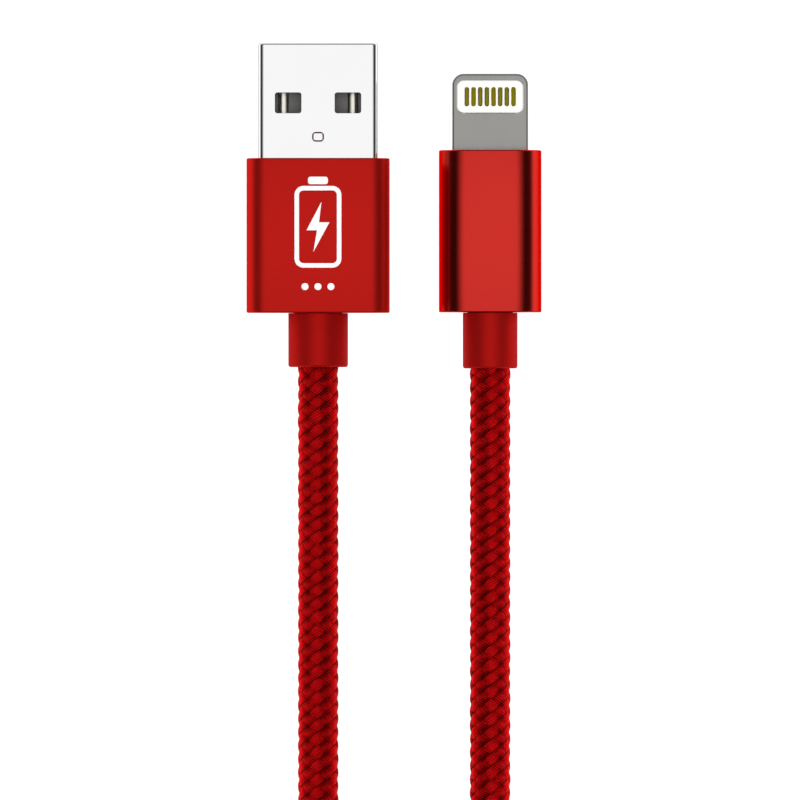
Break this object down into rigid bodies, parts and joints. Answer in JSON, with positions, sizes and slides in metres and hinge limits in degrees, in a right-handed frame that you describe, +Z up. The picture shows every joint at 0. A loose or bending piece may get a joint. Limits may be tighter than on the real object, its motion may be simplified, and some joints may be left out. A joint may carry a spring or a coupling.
{
  "type": "charging cable",
  "caption": "Braided charging cable with a flat rectangular plug at one end and a slim phone plug at the other, its spare length tied in a hank.",
  "frame": {"origin": "under the middle of the four-contact plug, on the plane that the cable lies on", "axes": "+Y along both plugs towards their tips, +X from the four-contact plug to the phone plug, +Z up"},
  "size_m": [0.0366, 0.1654, 0.0123],
  "materials": {
    "usb_housing_red": "red anodised, satin gloss",
    "phone_housing_red": "brighter red anodised, satin gloss",
    "collar_red": "smooth red moulded plastic",
    "plug_steel": "bright nickel plate on folded steel",
    "tab_steel": "satin grey nickel",
    "contact_gold": "gold flash on the contact strips",
    "pad_gold": "dark olive gold plate",
    "white_plastic": "moulded, satin",
    "black_plastic": "moulded, satin",
    "inner_mould": "translucent natural plastic",
    "board_green": "solder mask",
    "chip_black": "moulded package",
    "ferrule_brass": "plain crimped strip",
    "wire_red": "extruded insulation",
    "wire_white": "extruded insulation",
    "wire_green": "extruded insulation",
    "wire_black": "extruded insulation",
    "braid_red": "braided red filament yarn over a red jacket",
    "tie_grey": "woven hook-and-loop strap"
  },
  "bodies": {
    "root": {"usb_shell": "plug_steel", "usb_contact_carrier": "black_plastic", "usb_contact_power": "contact_gold", "usb_contact_data_minus": "contact_gold", "usb_contact_data_plus": "contact_gold", "usb_contact_ground": "contact_gold", "usb_inner_mould": "inner_mould", "usb_housing": "usb_housing_red", "usb_collar": "collar_red", "usb_crimp_ferrule": "ferrule_brass", "phone_plug_frame": "tab_steel", "phone_contact_carrier": "white_plastic", "phone_circuit_board": "board_green", "phone_control_chip": "chip_black", "phone_inner_mould": "inner_mould", "phone_housing": "phone_housing_red", "phone_collar": "collar_red", "phone_crimp_ferrule": "ferrule_brass", "cord_usb_stretch": "braid_red", "cord_phone_stretch": "braid_red", "cord_hank": "braid_red", "hank_tie": "tie_grey", "phone_contact_front_1": "pad_gold", "phone_contact_front_2": "pad_gold", "phone_contact_front_3": "pad_gold", "phone_contact_front_4": "pad_gold", "phone_contact_front_5": "pad_gold", "phone_contact_front_6": "pad_gold", "phone_contact_front_7": "pad_gold", "phone_contact_front_8": "pad_gold", "phone_contact_back_1": "pad_gold", "phone_contact_back_2": "pad_gold", "phone_contact_back_3": "pad_gold", "phone_contact_back_4": "pad_gold", "phone_contact_back_5": "pad_gold", "phone_contact_back_6": "pad_gold", "phone_contact_back_7": "pad_gold", "phone_contact_back_8": "pad_gold", "usb_wire_power": "wire_red", "usb_wire_data_minus": "wire_white", "usb_wire_data_plus": "wire_green", "usb_wire_ground": "wire_black", "phone_wire_power": "wire_red", "phone_wire_data_minus": "wire_white", "phone_wire_data_plus": "wire_green", "phone_wire_ground": "wire_black"}
  },
  "joints": []
}
